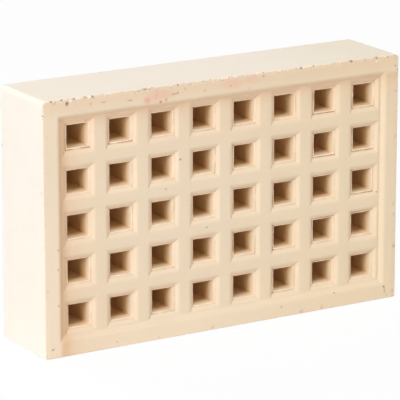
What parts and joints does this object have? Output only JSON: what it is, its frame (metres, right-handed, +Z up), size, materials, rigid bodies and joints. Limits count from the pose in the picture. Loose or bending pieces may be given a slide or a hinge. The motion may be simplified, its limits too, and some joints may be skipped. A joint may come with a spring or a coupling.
{
  "type": "clay air brick",
  "caption": "Rectangular buff clay ventilation brick with a raised border, a sunk panel and a grid of splayed square openings that run right through it.",
  "frame": {"origin": "middle of the bed that the brick is laid on, at the bottom of the brick", "axes": "+X along the brick's length, -Y out of its outer face with the border, +Z up from the bed"},
  "size_m": [0.215, 0.0454, 0.135],
  "materials": {
    "fired_clay": "dry, matt, sandy buff fired clay"
  },
  "bodies": {
    "root": {"air_brick": "fired_clay"}
  },
  "joints": []
}
